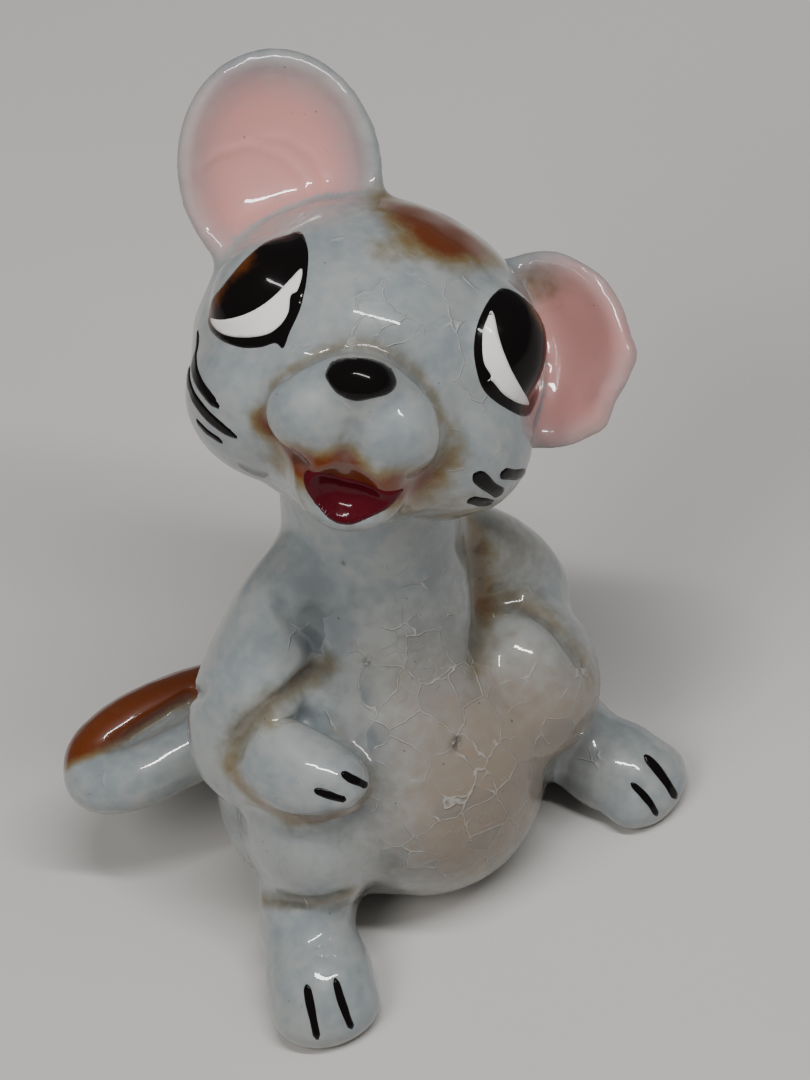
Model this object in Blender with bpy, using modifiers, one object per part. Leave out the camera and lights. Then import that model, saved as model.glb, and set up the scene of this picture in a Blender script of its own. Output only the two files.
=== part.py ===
"""A slip-cast, hand-assembled miniature china mouse, sitting with its face turned up.

Each piece is one lump of clay as the maker formed it: the body and the head are hollow castings, and
the solid limbs, tail, ears and nose are luted onto them. A piece starts as ellipsoids and strands of
balls. Remesh fuses them, Smooth fills the creases, Decimate thins the mesh, and Boolean cuts the piece
back to whatever it sits on. Every form is given in millimetres and MM turns it into metres.

The body faces -Y and stands on Z = 0, with +X on the mouse's left.
"""

import math

import bmesh
import bpy
from mathutils import Euler, Matrix, Vector

MM = 0.001

# Driving dimensions, in millimetres and degrees.
GAP = 0.3  # between a luted piece and what it sits on
WALL = 2.4  # of the slip-cast body and head
EAR_THICKNESS = 1.5
BASE_VENT_RADIUS = 1.7  # lets the firing gases out
NECK_VENT_RADIUS = 1.6  # joins the cavities of the body and the head
SLIVER = 0.02  # edges shorter than this are closed up

HEAD_CENTRE = Vector((6.0, 5.6, 43.7))
HEAD_TURN = -18.0  # towards the mouse's right
HEAD_LOOK_UP = 47.0
HEAD_TILT = 28.0  # towards the mouse's left ear

VOXEL = 0.5
SMOOTH_STEPS = 8
RIM_ANGLE = 40.0  # edges sharper than this stay crisp

GREY = (0.42, 0.45, 0.46)
PINK = (0.62, 0.45, 0.44)
BLACK = (0.01, 0.008, 0.008)
GLAZE_ROUGHNESS = 0.12
ENAMEL_ROUGHNESS = 0.06


# ---------------------------------------------------------------- clay forms

def ball(at, size, turn=(0.0, 0.0, 0.0)):
    """An ellipsoid of given centre, radii and turn in degrees, as the matrix of a unit sphere."""
    if not isinstance(size, (tuple, list)):
        size = (size, size, size)
    rotation = Euler([math.radians(angle) for angle in turn]).to_matrix().to_4x4()
    return Matrix.Translation(Vector(at)) @ rotation @ Matrix.Diagonal((*size, 1.0))


def smooth_path(points, steps):
    """A Catmull-Rom curve through points, each (x, y, z, radius)."""
    padded = [points[0], *points, points[-1]]
    path = []
    for before, start, end, after in zip(padded, padded[1:], padded[2:], padded[3:]):
        for step in range(steps):
            t = step / steps
            path.append([
                0.5 * (2 * b + (c - a) * t + (2 * a - 5 * b + 4 * c - d) * t ** 2
                       + (3 * b - a - 3 * c + d) * t ** 3)
                for a, b, c, d in zip(before, start, end, after)
            ])
    path.append(list(points[-1]))
    return path


def strand(points, steps=6):
    """Balls along a smooth path, close enough together to fuse into one limb."""
    return [ball(place[:3], place[3]) for place in smooth_path(points, steps)]


def shrunk(form, by):
    """The same ellipsoid with each of its radii reduced."""
    place, rotation, size = form.decompose()
    return Matrix.LocRotScale(place, rotation, [max(radius - by, 0.5) for radius in size])


# ---------------------------------------------------------------- the mouse, piece by piece

SEAT = [
    ball((0.0, 2.2, 5.4), (10.8, 10.0, 6.4)),
    ball((0.0, 5.0, 12.0), (8.8, 8.2, 9.5)),
    ball((0.8, 7.0, 15.5), (8.0, 7.2, 10.5)),
]
TRUNK = strand([
    (0.0, -0.4, 8.2, 9.2),
    (-0.1, -0.4, 12.0, 9.4),
    (0.9, 2.9, 17.4, 7.9),
    (2.4, 5.1, 22.2, 7.2),
    (3.6, 6.3, 27.5, 6.6),
    (4.8, 6.9, 33.2, 6.6),
])
SOLID_NECK = 8  # balls at the top of the trunk that the cavity leaves out

# The head's forms are in its own axes: X to the mouse's left, -Y along the nose, Z to the crown.
CRANIUM = [
    ball((0.1, 0.5, 0.7), (12.6, 11.6, 11.4)),
    ball((-5.2, -2.0, -3.4), (6.9, 7.6, 6.0)),
    ball((6.0, -2.0, -3.6), (6.8, 7.6, 6.0)),
]
FACE = [
    ball((-2.6, -9.8, -3.4), (4.0, 4.4, 3.6)),  # right muzzle pad
    ball((2.8, -9.8, -3.4), (4.0, 4.4, 3.6)),  # left muzzle pad
    ball((0.0, -9.6, -1.6), (4.6, 4.4, 3.0)),  # bridge of the nose
    ball((0.6, -8.2, -7.8), (4.4, 4.6, 3.5)),  # lower jaw
    ball((0.8, -4.8, -6.4), (6.4, 6.0, 4.6)),  # chin
    ball((-7.0, -4.8, 3.0), (4.6, 4.2, 4.8)),  # right eye
    ball((7.6, -4.7, 3.0), (4.6, 4.2, 5.0)),  # left eye
]
MOUTH = [ball((0.7, -12.2, -8.6), (2.7, 3.2, 1.6), (-20, 0, 0))]
NOSE = [ball((-0.1, -13.6, -1.0), (2.3, 1.7, 1.6))]

# An ear's radii are its half width, the depth of its cup and its half height.
EAR_RIGHT = ball((-8.8, -1.0, 12.2), (6.7, 2.8, 8.0), (-2, -22, 4))
EAR_LEFT = ball((12.0, 1.6, 4.0), (6.6, 2.6, 5.8), (0, 62, -24))

LEG_RIGHT = [
    ball((-9.9, -1.2, 9.6), (4.5, 6.2, 7.4), (18, 0, 0)),
    ball((-9.4, 3.6, 7.0), (4.8, 6.2, 6.6)),
    ball((-11.6, -2.6, 4.6), (3.7, 3.8, 4.4)),
]
LEG_LEFT = [
    ball((9.1, -0.4, 12.8), (6.0, 6.8, 7.2), (16, 0, 0)),
    ball((9.8, 5.0, 8.0), (5.2, 6.2, 7.4)),
    ball((10.9, 0.6, 4.8), (3.8, 4.4, 4.6)),
]
FOOT_RIGHT = [
    ball((-13.9, -7.6, 2.4), (4.1, 5.0, 3.4), (0, 0, -20)),
    ball((-14.8, -9.9, 1.6), (4.2, 3.2, 2.6), (0, 0, -20)),
    ball((-12.9, -4.2, 3.6), (3.4, 3.8, 3.6), (0, 0, -20)),
]
FOOT_LEFT = [
    ball((13.3, -4.2, 2.3), (3.8, 4.8, 3.2), (0, 0, 28)),
    ball((14.4, -6.6, 1.6), (4.0, 3.0, 2.5), (0, 0, 28)),
    ball((12.2, -0.8, 3.2), (3.1, 3.8, 3.4), (0, 0, 28)),
]

UPPER_ARM_RIGHT = strand([
    (-2.2, 5.7, 28.0, 2.8),
    (-5.3, 5.0, 25.4, 3.5),
    (-9.1, 4.0, 21.1, 4.0),
    (-11.3, 3.1, 17.7, 3.9),
    (-11.6, 1.8, 16.2, 3.4),
])
FOREARM_RIGHT = strand([
    (-11.4, 1.2, 16.8, 3.1),
    (-10.4, -1.8, 18.2, 3.2),
    (-9.0, -4.2, 18.4, 3.2),
    (-7.7, -5.8, 18.5, 2.5),
])
ARM_LEFT = strand([
    (6.6, 5.9, 26.5, 2.6),
    (8.8, 5.1, 23.2, 3.3),
    (11.4, 4.5, 18.7, 3.8),
    (12.5, 4.2, 14.6, 3.8),
    (12.4, 5.8, 11.0, 3.0),
])

# The tail leaves the middle of the back, runs out to the mouse's right and folds back on itself.
TAIL = strand([
    (-3.0, 11.6, 7.0, 2.7),
    (-8.5, 14.6, 9.2, 2.4),
    (-14.8, 15.2, 10.3, 2.3),
    (-19.2, 14.4, 10.3, 2.2),
    (-20.4, 12.0, 10.0, 2.2),
    (-17.6, 10.6, 10.0, 2.4),
    (-13.0, 10.2, 10.2, 2.4),
    (-8.5, 10.2, 10.4, 2.4),
])


def head_axes():
    """The head's own axes, placed in the mouse."""
    turn = Matrix.Rotation(math.radians(HEAD_TURN), 4, "Z")
    look = Matrix.Rotation(math.radians(-HEAD_LOOK_UP), 4, "X")
    tilt = Matrix.Rotation(math.radians(HEAD_TILT), 4, "Y")
    return Matrix.Translation(HEAD_CENTRE) @ turn @ look @ tilt


# ---------------------------------------------------------------- from forms to objects

def clear_scene():
    for old in list(bpy.data.objects):
        bpy.data.objects.remove(old)


def new_collection(name):
    made = bpy.data.collections.new(name)
    bpy.context.scene.collection.children.link(made)
    return made


def glaze(name, colour, roughness):
    made = bpy.data.materials.new(name)
    made.use_nodes = True
    shader = made.node_tree.nodes["Principled BSDF"]
    shader.inputs["Base Color"].default_value = (*colour, 1.0)
    shader.inputs["Roughness"].default_value = roughness
    return made


def add_object(name, bm, group):
    mesh = bpy.data.meshes.new(name)
    bm.to_mesh(mesh)
    bm.free()
    made = bpy.data.objects.new(name, mesh)
    group.objects.link(made)
    return made


def as_cutter(obj):
    obj.hide_render = True
    obj.display_type = "WIRE"
    return obj


def fuse(piece, keep, voxel=VOXEL, smooth_steps=SMOOTH_STEPS):
    """Make one skin of the overlapping forms and keep a share of its triangles."""
    remesh = piece.modifiers.new("fuse", "REMESH")
    remesh.mode = "VOXEL"
    remesh.voxel_size = voxel * MM
    soften = piece.modifiers.new("soften", "SMOOTH")
    soften.factor = 0.5
    soften.iterations = smooth_steps
    thin = piece.modifiers.new("thin", "DECIMATE")
    thin.ratio = keep
    thin.use_collapse_triangulate = True


def clay(name, forms, group, keep, axes=Matrix.Identity(4), **fuse_settings):
    bm = bmesh.new()
    for form in forms:
        bmesh.ops.create_icosphere(bm, subdivisions=3, radius=1.0,
                                   matrix=Matrix.Scale(MM, 4) @ axes @ form)
    piece = add_object(name, bm, group)
    fuse(piece, keep, **fuse_settings)
    return piece


def ear_cup(name, form, axes, group):
    """The back half of a flattened ball, given its thickness and a rounded rim."""
    bm = bmesh.new()
    bmesh.ops.create_uvsphere(bm, u_segments=32, v_segments=16, radius=1.0,
                              matrix=Matrix.Rotation(math.radians(90), 4, "X"))
    front = [vert for vert in bm.verts if vert.co.y < -0.02]
    bmesh.ops.delete(bm, geom=front, context="VERTS")
    bmesh.ops.transform(bm, matrix=Matrix.Scale(MM, 4) @ axes @ form, verts=bm.verts)
    ear = add_object(name, bm, group)
    thick = ear.modifiers.new("thickness", "SOLIDIFY")
    thick.thickness = EAR_THICKNESS * MM
    thick.offset = 0.0
    fuse(ear, 0.10, voxel=0.4, smooth_steps=6)
    return ear


def rod(name, start, end, radius, group):
    """A round cutter between two points."""
    along = Vector(end) - Vector(start)
    place = Matrix.Translation((Vector(start) + Vector(end)) / 2)
    turn = along.to_track_quat("Z", "Y").to_matrix().to_4x4()
    bm = bmesh.new()
    bmesh.ops.create_cone(bm, cap_ends=True, segments=24, radius1=radius, radius2=radius,
                          depth=along.length, matrix=place @ turn)
    bmesh.ops.scale(bm, vec=(MM, MM, MM), verts=bm.verts)
    return as_cutter(add_object(name, bm, group))


def below_ground(group, depth=20.0, width=100.0):
    """Everything under Z = 0, which the base and the soles are ground back to."""
    bm = bmesh.new()
    bmesh.ops.create_cube(bm, size=1.0, matrix=Matrix.Translation((0.0, 0.0, -depth * MM / 2))
                          @ Matrix.Diagonal((width * MM, width * MM, depth * MM, 1.0)))
    return as_cutter(add_object("below_ground", bm, group))


def grown(piece, group):
    """A cutter with the outside of a piece, standing out from it by the joint gap."""
    copy = bpy.data.objects.new(f"{piece.name}_grown", piece.data)
    group.objects.link(copy)
    for source in piece.modifiers:
        target = copy.modifiers.new(source.name, source.type)
        for setting in source.bl_rna.properties:
            if not setting.is_readonly and setting.identifier != "name":
                setattr(target, setting.identifier, getattr(source, setting.identifier))
    swell = copy.modifiers.new("swell", "DISPLACE")
    swell.strength = GAP * MM
    swell.mid_level = 0.0
    return as_cutter(copy)


def cut(piece, *cutters):
    for cutter in cutters:
        boolean = piece.modifiers.new(f"cut_{cutter.name}", "BOOLEAN")
        boolean.operation = "DIFFERENCE"
        boolean.solver = "EXACT"
        boolean.object = cutter


def settle(pieces):
    """Freeze the modifiers, close up slivers and keep only the cut rims crisp."""
    depsgraph = bpy.context.evaluated_depsgraph_get()
    meshes = [bpy.data.meshes.new_from_object(piece.evaluated_get(depsgraph)) for piece in pieces]
    for piece, mesh in zip(pieces, meshes):
        bm = bmesh.new()
        bm.from_mesh(mesh)
        bmesh.ops.remove_doubles(bm, verts=bm.verts, dist=SLIVER * MM)
        bmesh.ops.dissolve_degenerate(bm, edges=bm.edges, dist=SLIVER * MM / 10)
        bmesh.ops.triangulate(bm, faces=bm.faces)
        bmesh.ops.recalc_face_normals(bm, faces=bm.faces)
        for face in bm.faces:
            face.smooth = True
        bm.to_mesh(mesh)
        bm.free()
        mesh.set_sharp_from_angle(angle=math.radians(RIM_ANGLE))
        piece.modifiers.clear()
        piece.data = mesh


def centre_on_ground(pieces, cutters):
    """Bring the middle of the mouse's footprint box to the origin."""
    corners = [vert.co for piece in pieces for vert in piece.data.vertices]
    middle = [(min(axis) + max(axis)) / 2 for axis in zip(*corners)]
    to_origin = Vector((-middle[0], -middle[1], 0.0))
    for obj in [*pieces, *cutters]:
        obj.location = to_origin


# ---------------------------------------------------------------- assembly

def build():
    clear_scene()
    mouse = new_collection("china_mouse")
    tools = new_collection("cutters")
    ground = below_ground(tools)
    in_head = head_axes()
    neck_vent = rod("neck_vent", (3.2, 6.0, 24.0), HEAD_CENTRE, NECK_VENT_RADIUS, tools)
    base_vent = rod("base_vent", (0.0, 5.5, -5.0), (0.0, 5.5, 10.0), BASE_VENT_RADIUS, tools)

    head = clay("head", CRANIUM + FACE, mouse, 0.075, in_head, smooth_steps=14)
    head_outside = grown(head, tools)
    head_cavity = as_cutter(clay("head_cavity", [shrunk(form, WALL) for form in CRANIUM], tools,
                                 0.03, in_head))
    mouth = as_cutter(clay("mouth_hollow", MOUTH, tools, 0.5, in_head, voxel=0.3, smooth_steps=2))
    cut(head, head_cavity, neck_vent, mouth)

    body = clay("body", SEAT + TRUNK, mouse, 0.06)
    body_outside = grown(body, tools)
    hollowed = SEAT + TRUNK[:-SOLID_NECK]
    body_cavity = as_cutter(clay("body_cavity", [shrunk(form, WALL) for form in hollowed], tools, 0.025))
    cut(body, ground, head_outside, body_cavity, neck_vent, base_vent)

    sides = (
        ("right", LEG_RIGHT, FOOT_RIGHT, UPPER_ARM_RIGHT + FOREARM_RIGHT, EAR_RIGHT),
        ("left", LEG_LEFT, FOOT_LEFT, ARM_LEFT, EAR_LEFT),
    )
    for side, leg_forms, foot_forms, arm_forms, ear_form in sides:
        leg = clay(f"leg_{side}", leg_forms, mouse, 0.085)
        leg_outside = grown(leg, tools)
        cut(leg, ground, body_outside)
        foot = clay(f"foot_{side}", foot_forms, mouse, 0.10)
        cut(foot, ground, body_outside, leg_outside)
        arm = clay(f"arm_{side}", arm_forms, mouse, 0.08)
        cut(arm, body_outside, head_outside, leg_outside)
        ear = ear_cup(f"ear_{side}", ear_form, in_head, mouse)
        cut(ear, head_outside)

    tail = clay("tail", TAIL, mouse, 0.09)
    cut(tail, body_outside, bpy.data.objects["leg_right_grown"])
    nose = clay("nose", NOSE, mouse, 0.3, in_head, voxel=0.35, smooth_steps=2)
    cut(nose, head_outside)

    pieces = list(mouse.objects)
    settle(pieces)
    centre_on_ground(pieces, tools.objects)

    for piece in pieces:
        colour = GREY
        roughness = GLAZE_ROUGHNESS
        if piece == nose:
            colour = BLACK
            roughness = ENAMEL_ROUGHNESS
        elif piece.name.startswith("ear"):
            colour = PINK
        piece.data.materials.append(glaze(f"{piece.name}_glaze", colour, roughness))


build()
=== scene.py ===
"""Looks for the miniature china mouse: glaze over luted clay, hand-painted enamel and a plain studio.

The CAD pieces are read as green clay. Their distance fields are melted into one form, so that the glaze
runs over each luted joint in a soft fillet, and the skin of that form is divided again into one closed
piece for each CAD piece. Enamel strokes and patches are thin coats that lie on the skin. Forms are in
millimetres in this file, and MM turns them into metres as they become meshes.
"""

import math

import bpy
import numpy as np
from mathutils import Euler, Matrix, Vector, geometry
from mathutils.bvhtree import BVHTree


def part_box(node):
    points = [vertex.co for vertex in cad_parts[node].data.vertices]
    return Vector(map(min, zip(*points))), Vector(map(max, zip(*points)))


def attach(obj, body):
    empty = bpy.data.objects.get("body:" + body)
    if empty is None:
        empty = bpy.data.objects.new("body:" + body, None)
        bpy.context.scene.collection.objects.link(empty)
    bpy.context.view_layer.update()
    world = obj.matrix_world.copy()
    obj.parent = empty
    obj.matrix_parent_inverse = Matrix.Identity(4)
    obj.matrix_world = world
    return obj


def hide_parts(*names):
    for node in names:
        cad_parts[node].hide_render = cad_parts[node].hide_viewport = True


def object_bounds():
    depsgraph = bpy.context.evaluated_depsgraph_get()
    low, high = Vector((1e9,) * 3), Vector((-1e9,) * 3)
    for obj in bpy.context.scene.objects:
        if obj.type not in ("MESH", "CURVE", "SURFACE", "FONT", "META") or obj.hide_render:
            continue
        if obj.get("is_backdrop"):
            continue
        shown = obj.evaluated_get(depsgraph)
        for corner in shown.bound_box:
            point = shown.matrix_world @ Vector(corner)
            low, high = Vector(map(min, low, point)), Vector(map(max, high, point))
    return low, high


MM = 0.001

# The clay and its glaze, in millimetres.
PITCH = 0.3  # spacing of the samples
FILLET = 1.5  # how far apart two surfaces still melt together
REACH = 2.1  # how far from a surface its distance is measured
BLUR_STEPS = 2
GRID_SHIFT = 0.0137  # keeps the samples off the flat faces of the clay
SKIN_SMOOTH_STEPS = 30
EAR_SMOOTH_STEPS = 25
MOUTH_SMOOTH_STEPS = 7  # where the light breaks in its dish
MARK_SMOOTH_STEPS = 2  # once the tool marks are pressed in
SEAM_SMOOTH_STEPS = 15  # for the walls inside, where two pieces meet
SEAM_DEPTH = 0.12  # of those walls under the skin

# The head's own axes: X to the mouse's left, -Y along the nose, Z to the crown, in degrees.
HEAD_TURN = -18.0
HEAD_LOOK_UP = 47.0
HEAD_TILT = 28.0
HEAD_MIDDLE = Vector((0.507, 0.523, 0.487))  # its centre, as shares of the head's box

# Enamel, in millimetres.
ENAMEL_HEIGHT = 0.07
ENAMEL_EDGE = 0.16  # the width over which a coat rises to its height
ENAMEL_FOOT = 0.12  # how deep the underside of a coat lies in the skin
WHITE_HEIGHT = 0.05
MOUTH_HEIGHT = 0.10
NOSE_HEIGHT = 0.14
DEGREE = 0.22  # roughly how long a degree is on the head

# The camera, in degrees and millimetres.
VIEW_AZIMUTH = -18.0
VIEW_ELEVATION = 48.8
VIEW_ROLL = 15.3
VIEW_TARGET = Vector((7.8, 9.7, 14.3))
VIEW_DISTANCE = 495.6
FOCAL_LENGTH = 223.0
SENSOR = 36.0
MOUSE_MIDDLE = (0.0, 0.0, 0.03)


# ------------------------------------ green clay to one melted form

class Grid:
    """Evenly spaced samples over a box."""

    def __init__(self, low, high, pitch):
        self.pitch = pitch
        self.low = np.array(low) - GRID_SHIFT
        self.shape = tuple(np.ceil((np.array(high) - self.low) / pitch).astype(int) + 1)

    def window(self, low, high):
        """The slices of the grid that cover a smaller box."""
        first = np.maximum(np.floor((np.array(low) - self.low) / self.pitch).astype(int), 0)
        last = np.minimum(np.ceil((np.array(high) - self.low) / self.pitch).astype(int) + 1, self.shape)
        return tuple(slice(a, b) for a, b in zip(first, last))

    def coordinates(self, window):
        return [self.low[i] + self.pitch * np.arange(part.start, part.stop)
                for i, part in enumerate(window)]


def clay_tree(obj):
    mesh = obj.data
    points = [obj.matrix_world @ vert.co / MM for vert in mesh.vertices]
    return BVHTree.FromPolygons(points, [tuple(face.vertices) for face in mesh.polygons])


def inside_clay(tree, xs, ys, zs):
    """Which samples are in the clay, from where each upright line through them crosses its surface."""
    inside = np.zeros((len(xs), len(ys), len(zs)), bool)
    up = Vector((0.0, 0.0, 1.0))
    floor = zs[0] - 1.0
    for i, x in enumerate(xs):
        for j, y in enumerate(ys):
            height = floor
            while True:
                hit = tree.ray_cast(Vector((x, y, height)), up)[0]
                if hit is None:
                    break
                inside[i, j] ^= zs > hit.z
                height = hit.z + 1e-4
    return inside


def near_surface(tree, xs, ys, zs, step=4):
    """Which samples may lie within REACH of the surface, by testing every few of them."""
    pitch = xs[1] - xs[0]
    slack = REACH + step * pitch
    coarse = np.zeros([-(-len(axis) // step) for axis in (xs, ys, zs)], bool)
    half = (step - 1) / 2 * pitch
    for i, j, k in np.ndindex(coarse.shape):
        point = Vector((xs[i * step] + half, ys[j * step] + half, zs[k * step] + half))
        coarse[i, j, k] = tree.find_nearest(point, slack)[0] is not None
    for axis in range(3):
        coarse = np.repeat(coarse, step, axis)
    return coarse[:len(xs), :len(ys), :len(zs)]


def signed_distance(tree, xs, ys, zs):
    """Distance to the clay's surface, negative in the clay and cut off at REACH."""
    distance = np.full((len(xs), len(ys), len(zs)), REACH)
    for i, j, k in np.argwhere(near_surface(tree, xs, ys, zs)):
        found = tree.find_nearest(Vector((xs[i], ys[j], zs[k])), REACH)[3]
        if found is not None:
            distance[i, j, k] = found
    return np.where(inside_clay(tree, xs, ys, zs), -distance, distance)


def melted(a, b):
    """A smooth minimum, which fillets the crease between two forms."""
    share = np.clip(0.5 + 0.5 * (b - a) / FILLET, 0.0, 1.0)
    return b * (1 - share) + a * share - FILLET * share * (1 - share)


def blurred(field):
    for axis in range(3):
        padded = np.concatenate([field.take([0], axis), field, field.take([-1], axis)], axis)
        count = field.shape[axis]
        before, middle, after = (padded.take(range(i, i + count), axis) for i in range(3))
        field = (before + 2 * middle + after) / 4
    return field


def open_air(air):
    """The air that is joined to the air outside, found by sweeping through it from every side."""
    reached = np.zeros_like(air)
    for axis in range(3):
        np.moveaxis(reached, axis, 0)[[0, -1]] = True
    count = 0
    while count != reached.sum():
        count = reached.sum()
        for axis in range(3):
            here, open_here = np.moveaxis(reached, axis, 0), np.moveaxis(air, axis, 0)
            for i in range(1, len(here)):
                here[i] |= here[i - 1] & open_here[i]
            for i in range(len(here) - 2, -1, -1):
                here[i] |= here[i + 1] & open_here[i]
    return reached


def melt_clay(grid, pieces):
    """One field for all pieces, and for each sample the number of the piece that it belongs to."""
    field = np.full(grid.shape, REACH)
    nearest = np.full(grid.shape, REACH)
    owner = np.zeros(grid.shape, np.uint8)
    for piece in pieces:
        tree = clay_tree(piece["node"])
        low, high = piece["box"]
        window = grid.window(low - REACH - grid.pitch, high + REACH + grid.pitch)
        distance = signed_distance(tree, *grid.coordinates(window))
        closer = distance < nearest[window]
        owner[window] = np.where(closer, piece["owner"], owner[window])
        nearest[window] = np.minimum(nearest[window], distance)
        field[window] = melted(field[window], distance)
    for _ in range(BLUR_STEPS):
        field = blurred(field)
    return field, np.where(open_air(field >= 0), 0, owner)


# ------------------------------------ from the form to its skin

CORNERS = np.array([(i, j, k) for i in (0, 1) for j in (0, 1) for k in (0, 1)])
CELL_EDGES = [(a, b) for a in range(8) for b in range(a + 1, 8)
              if np.abs(CORNERS[a] - CORNERS[b]).sum() == 1]


def skin_points(grid, field, owner):
    """One point in each cell that a surface crosses, and the table from cell to point."""
    cells = tuple(np.array(grid.shape) - 1)
    lowest = np.full(cells, 255, np.uint8)
    highest = np.zeros(cells, np.uint8)
    for corner in CORNERS:
        part = owner[tuple(slice(c, c + n) for c, n in zip(corner, cells))]
        lowest = np.minimum(lowest, part)
        highest = np.maximum(highest, part)
    crossed = np.argwhere(lowest != highest)
    table = np.full(cells, -1, np.int64)
    table[tuple(crossed.T)] = np.arange(len(crossed))

    at_corner = [tuple((crossed + corner).T) for corner in CORNERS]
    values = np.stack([field[place] for place in at_corner], 1)
    owners = np.stack([owner[place] for place in at_corner], 1)
    total = np.zeros((len(crossed), 3))
    inner_total = np.zeros((len(crossed), 3))
    count = np.zeros(len(crossed))
    inner_count = np.zeros(len(crossed))
    for a, b in CELL_EDGES:
        outer = (owners[:, a] == 0) != (owners[:, b] == 0)
        inner = (owners[:, a] != owners[:, b]) & ~outer
        step = np.where(outer, values[:, a] - values[:, b], 1.0)
        share = np.clip(values[:, a] / step, 0.0, 1.0)[:, None]
        place = CORNERS[a] * (1 - share) + CORNERS[b] * share
        total += place * outer[:, None]
        count += outer
        inner_total += (CORNERS[a] + CORNERS[b]) / 2 * inner[:, None]
        inner_count += inner
    outer_place = total / np.maximum(count, 1)[:, None]
    inner_place = inner_total / np.maximum(inner_count, 1)[:, None]
    place = np.where(count[:, None] > 0, outer_place, inner_place)
    return grid.low + grid.pitch * (crossed + place), table, count > 0


def skin_faces(owner, table):
    """Quads across every change of owner, each with the owners behind and in front of it."""
    faces = []
    behind = []
    front = []
    for axis in range(3):
        second, third = (axis + 1) % 3, (axis + 2) % 3
        here = [slice(1, -1)] * 3
        here[axis] = slice(0, -1)
        there = list(here)
        there[axis] = slice(1, None)
        a, b = owner[tuple(here)], owner[tuple(there)]
        places = np.argwhere(a != b)
        start = np.ones(3, int)
        start[axis] = 0
        corners = []
        for u, v in ((0, 0), (1, 0), (1, 1), (0, 1)):
            cell = places + start
            cell[:, second] -= 1 - u
            cell[:, third] -= 1 - v
            corners.append(table[tuple(cell.T)])
        faces.append(np.stack(corners, 1))
        behind.append(a[tuple(places.T)])
        front.append(b[tuple(places.T)])
    return np.concatenate(faces), np.concatenate(behind), np.concatenate(front)


def neighbour_sums(values, edges, count):
    """For each point, the sum of a quantity over the points that share an edge with it."""
    a, b = edges.T
    return np.stack([
        np.bincount(a, column[b], count) + np.bincount(b, column[a], count) for column in values.T
    ], 1)


def face_edges(faces):
    pairs = np.concatenate([faces[:, [i, (i + 1) % 4]] for i in range(4)])
    return np.unique(np.sort(pairs, 1), axis=0)


def smoothed(points, edges, steps, movable, back=-0.53):
    """Taubin smoothing of the movable points: alternate steps in and out keep the volume."""
    count = len(points)
    degree = np.maximum(neighbour_sums(np.ones((count, 1)), edges, count), 1)
    for step in range(2 * steps):
        weight = 0.5 if step % 2 == 0 else back
        middle = neighbour_sums(points, edges, count) / degree
        points = np.where(movable[:, None], points + weight * (middle - points), points)
    return points


def point_normals(points, faces):
    across = np.cross(points[faces[:, 2]] - points[faces[:, 0]], points[faces[:, 3]] - points[faces[:, 1]])
    total = np.zeros_like(points)
    for i in range(4):
        for axis in range(3):
            total[:, axis] += np.bincount(faces[:, i], across[:, axis], len(points))
    return total / np.maximum(np.linalg.norm(total, axis=1), 1e-9)[:, None]


# ------------------------------------ places on the mouse

class Skin:
    """The mouse's surface, to lay strokes and coats on."""

    def __init__(self, points, faces, normals):
        self.points = points
        self.faces = faces
        self.normals = normals
        corners = [Vector(point) for point in points]
        self.tree = BVHTree.FromPolygons(corners, [tuple(face) for face in faces])

    def hit(self, start, way):
        """Where a ray meets the skin, and the smooth normal there; None if it misses."""
        place, _, index, _ = self.tree.ray_cast(start, way)
        if place is None:
            return None
        corners = self.faces[index]
        weights = 1 / (np.linalg.norm(self.points[corners] - np.array(place), axis=1) ** 2 + 1e-4)
        return place, Vector(weights @ self.normals[corners]).normalized()

    def line(self, place, line):
        """The points of the skin that a line in a window, or on the head, falls on."""
        hits = [self.hit(*place(u, v)) for u, v in line]
        return np.array([hit[0] for hit in hits if hit])

    def push_in(self, points, depth):
        """Points moved so that none is nearer to the surface than depth, or outside it."""
        moved = []
        for point in points:
            place, _, index, _ = self.tree.find_nearest(Vector(point))
            normal = self.normals[self.faces[index]].mean(0)
            inside = -(point - np.array(place)) @ normal
            moved.append(point if inside > depth else np.array(place) - normal * depth)
        return np.array(moved)


class HeadGlobe:
    """Directions from the middle of the head: yaw towards the mouse's left, pitch towards the crown."""

    def __init__(self):
        low, high = (Vector(corner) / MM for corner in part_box("head"))
        self.centre = low + (high - low) * HEAD_MIDDLE
        turn = Matrix.Rotation(math.radians(HEAD_TURN), 3, "Z")
        look = Matrix.Rotation(math.radians(-HEAD_LOOK_UP), 3, "X")
        tilt = Matrix.Rotation(math.radians(HEAD_TILT), 3, "Y")
        self.axes = turn @ look @ tilt

    def direction(self, yaw, pitch):
        yaw, pitch = math.radians(yaw), math.radians(pitch)
        return self.axes @ Vector((math.sin(yaw) * math.cos(pitch), -math.cos(yaw) * math.cos(pitch),
                                   math.sin(pitch)))

    def ray(self, yaw, pitch):
        """Where to start and which way to go, to meet the skin from outside."""
        away = self.direction(yaw, pitch)
        return self.centre + away * 30.0, -away

    def angles(self, points):
        """Yaw and pitch of points, in degrees."""
        side, back, crown = ((points - np.array(self.centre)) @ np.array(self.axes)).T
        return np.degrees(np.stack([np.arctan2(side, -back), np.arctan2(crown, np.hypot(side, back))], 1))


def towards_camera():
    azimuth, elevation = math.radians(VIEW_AZIMUTH), math.radians(VIEW_ELEVATION)
    return Vector((math.sin(azimuth) * math.cos(elevation), -math.cos(azimuth) * math.cos(elevation),
                   math.sin(elevation)))


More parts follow.
